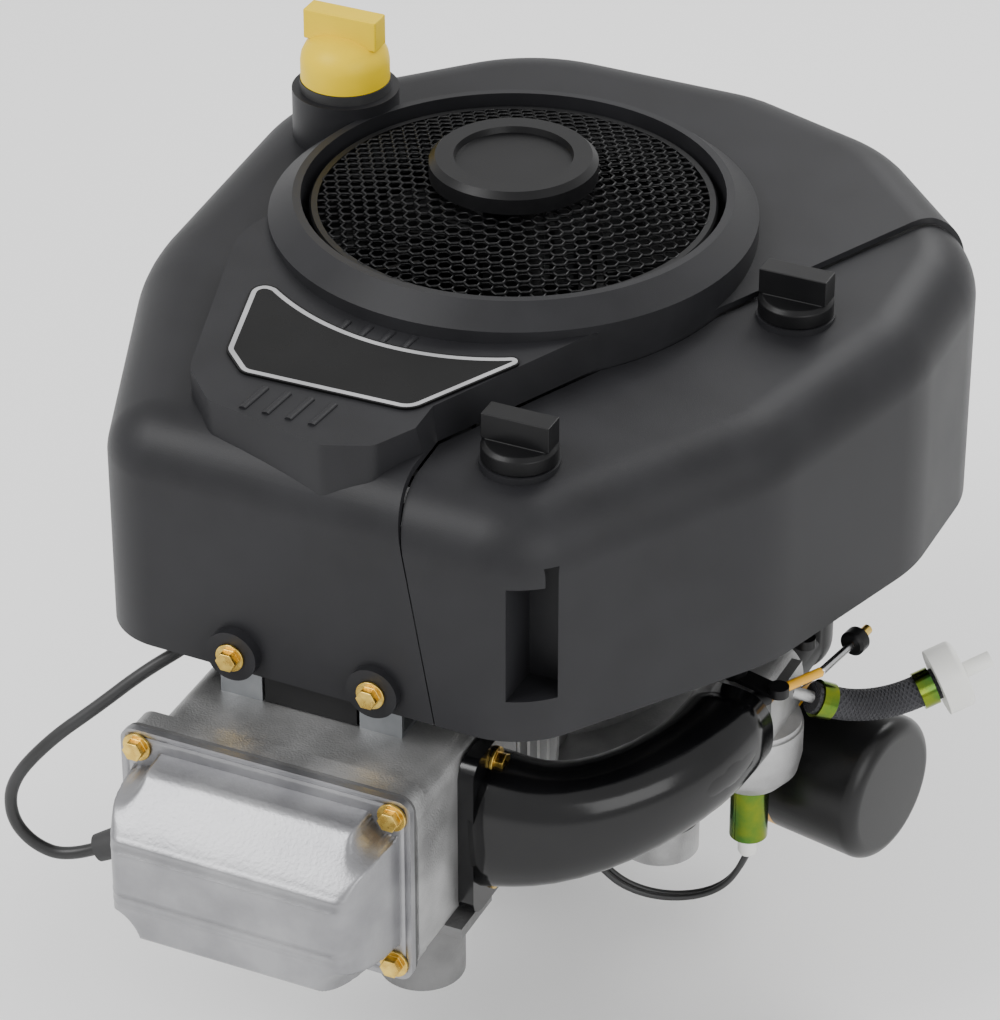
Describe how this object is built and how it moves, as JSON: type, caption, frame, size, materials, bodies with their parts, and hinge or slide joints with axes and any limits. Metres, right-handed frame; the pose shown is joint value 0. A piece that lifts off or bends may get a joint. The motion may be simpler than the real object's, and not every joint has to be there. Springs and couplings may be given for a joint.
{
  "type": "small gasoline engine",
  "caption": "Vertical-shaft single-cylinder gasoline engine with overhead valves, fan-cooled under a blower housing, with carburettor, air cleaner and downward output shaft.",
  "frame": {"origin": "where the crankshaft axis meets the mounting face of the sump", "axes": "+Z along the crankshaft towards the cooling fan, cylinder and valve cover towards -Y, carburettor side +X"},
  "size_m": [0.4247, 0.4876, 0.4412],
  "materials": {
    "cast_aluminium": "as-cast, shot-blasted",
    "cover_casting": "bright die casting, tumbled",
    "shroud_plastic": "moulded, fine texture",
    "black_plastic": "moulded, satin",
    "gloss_black_plastic": "moulded, smooth",
    "yellow_plastic": "moulded, smooth",
    "white_plastic": "moulded",
    "nameplate": "gloss black with a silver border",
    "zinc_yellow": "yellow zinc plate",
    "zinc_green": "iridescent green zinc plate",
    "machined_steel": "ground",
    "cast_iron": "as-cast",
    "grey_zinc": "zinc plate",
    "black_paint": "black enamel",
    "rubber": "moulded",
    "hose_rubber": "fabric-marked fuel hose",
    "paper": "pleated paper",
    "gasket_fibre": "fibre"
  },
  "bodies": {
    "engine": {"air_cleaner_base": "black_plastic", "air_filter": "paper", "air_guide": "black_plastic", "blower_housing": "shroud_plastic", "carburettor": "cast_aluminium", "control_bracket": "grey_zinc", "cylinder_block": "cast_aluminium", "cylinder_head": "cast_aluminium", "exhaust_outlet": "cast_iron", "flange_bolts": "zinc_yellow", "float_bowl": "cast_aluminium", "fuel_filter": "white_plastic", "fuel_hose": "hose_rubber", "fuel_solenoid": "zinc_green", "gaskets": "gasket_fibre", "hose_clamps": "zinc_green", "ignition_coil": "black_plastic", "intake_elbow": "gloss_black_plastic", "nameplate": "nameplate", "oil_fill_tube": "black_paint", "oil_filter": "black_paint", "oil_seals": "rubber", "rocker_shaft": "machined_steel", "shroud_brackets": "grey_zinc", "solenoid_wires": "rubber", "spark_lead": "rubber", "spark_plug": "machined_steel", "spark_plug_boot": "rubber", "starter_motor": "black_paint", "sump": "cast_aluminium", "valve_cover": "cover_casting", "valve_springs": "machined_steel"},
    "crank": {"crankshaft": "machined_steel", "crank_gear": "machined_steel", "flywheel": "cast_aluminium", "ring_gear": "machined_steel", "cooling_fan": "black_plastic", "rotating_screen": "black_plastic", "screen_cap": "black_plastic"},
    "cam": {"camshaft": "machined_steel"},
    "piston_and_rod": {"piston": "cast_aluminium", "piston_rings": "machined_steel", "wrist_pin": "machined_steel", "connecting_rod": "machined_steel", "crankpin": "machined_steel"},
    "intake_rocker_arm": {"intake_rocker": "machined_steel"},
    "exhaust_rocker_arm": {"exhaust_rocker": "machined_steel"},
    "intake_valve_stem": {"intake_valve": "machined_steel"},
    "exhaust_valve_stem": {"exhaust_valve": "machined_steel"},
    "intake_push_rod": {"intake_pushrod": "machined_steel"},
    "exhaust_push_rod": {"exhaust_pushrod": "machined_steel"},
    "cleaner_cover": {"air_cleaner_cover": "shroud_plastic"},
    "front_knob": {"knob_front": "black_plastic"},
    "rear_knob": {"knob_rear": "black_plastic"},
    "cap_seal_ring": {"cap_seal": "rubber"},
    "oil_fill_cap": {"oil_cap": "yellow_plastic"},
    "throttle": {"throttle_lever": "black_plastic"},
    "choke": {"choke_lever": "black_plastic"},
    "control": {"control_lever": "black_plastic"},
    "pinion": {"starter_pinion": "machined_steel"}
  },
  "joints": [
    {"name": "crank_spin", "type": "hinge", "parent": "engine", "child": "crank", "pos_m": [0, 0, 0], "axis": [0, 0, 1], "continuous": true},
    {"name": "cam_spin", "type": "hinge", "parent": "engine", "child": "cam", "pos_m": [0.056, -0.04525, 0.03], "axis": [0, 0, 1], "continuous": true},
    {"name": "piston_stroke", "type": "slide", "parent": "engine", "child": "piston_and_rod", "axis": [0, 1, 0], "range_m": [0, 0.079]},
    {"name": "exhaust_rocker_swing", "type": "hinge", "parent": "engine", "child": "exhaust_rocker_arm", "pos_m": [0.022, -0.24, 0.071], "axis": [0, 0, -1], "range_deg": [0, 12]},
    {"name": "exhaust_valve_lift", "type": "slide", "parent": "engine", "child": "exhaust_valve_stem", "axis": [0, 1, 0], "range_m": [0, 0.0071], "deforming": ["valve_springs"]},
    {"name": "exhaust_pushrod_lift", "type": "slide", "parent": "engine", "child": "exhaust_push_rod", "axis": [0, -1, 0], "range_m": [0, 0.007]},
    {"name": "intake_rocker_swing", "type": "hinge", "parent": "engine", "child": "intake_rocker_arm", "pos_m": [0.022, -0.24, 0.111], "axis": [0, 0, -1], "range_deg": [0, 12]},
    {"name": "intake_valve_lift", "type": "slide", "parent": "engine", "child": "intake_valve_stem", "axis": [0, 1, 0], "range_m": [0, 0.0071], "deforming": ["valve_springs"]},
    {"name": "intake_pushrod_lift", "type": "slide", "parent": "engine", "child": "intake_push_rod", "axis": [0, -1, 0], "range_m": [0, 0.007]},
    {"name": "cover_lift", "type": "slide", "parent": "engine", "child": "cleaner_cover", "axis": [0, 0, 1], "range_m": [0, 0.12]},
    {"name": "front_knob_turn", "type": "hinge", "parent": "cleaner_cover", "child": "front_knob", "pos_m": [0.079, -0.165, 0.276], "axis": [0, 0, 1], "range_deg": [0, 90]},
    {"name": "rear_knob_turn", "type": "hinge", "parent": "cleaner_cover", "child": "rear_knob", "pos_m": [0.151, -0.009, 0.288], "axis": [0, 0, 1], "range_deg": [0, 90]},
    {"name": "dipstick_lift", "type": "slide", "parent": "engine", "child": "cap_seal_ring", "axis": [0, 0, 1], "range_m": [0, 0.21]},
    {"name": "oil_cap_turn", "type": "hinge", "parent": "cap_seal_ring", "child": "oil_fill_cap", "pos_m": [-0.118, 0.055, 0.325], "axis": [0, 0, 1], "range_deg": [0, 90]},
    {"name": "throttle_turn", "type": "hinge", "parent": "engine", "child": "throttle", "pos_m": [0.156, -0.085, 0.13], "axis": [0, 0, 1], "range_deg": [0, 50]},
    {"name": "choke_turn", "type": "hinge", "parent": "engine", "child": "choke", "pos_m": [0.156, -0.055, 0.14], "axis": [0, 0, -1], "range_deg": [0, 45]},
    {"name": "control_turn", "type": "hinge", "parent": "engine", "child": "control", "pos_m": [0.196, 0.016, 0.148], "axis": [0, -1, 0], "range_deg": [-20, 20]},
    {"name": "pinion_throw", "type": "slide", "parent": "engine", "child": "pinion", "axis": [0, 0, 1], "range_m": [0, 0.016]}
  ],
  "couplings": [
    {"joint": "cam_spin", "follows": "crank_spin", "ratio": -0.5},
    {"joint": "exhaust_rocker_swing", "follows": "exhaust_valve_lift", "rad_per_m": 29.412},
    {"joint": "exhaust_pushrod_lift", "follows": "exhaust_valve_lift", "ratio": 0.9412},
    {"joint": "intake_rocker_swing", "follows": "intake_valve_lift", "rad_per_m": 29.412},
    {"joint": "intake_pushrod_lift", "follows": "intake_valve_lift", "ratio": 0.9412}
  ]
}
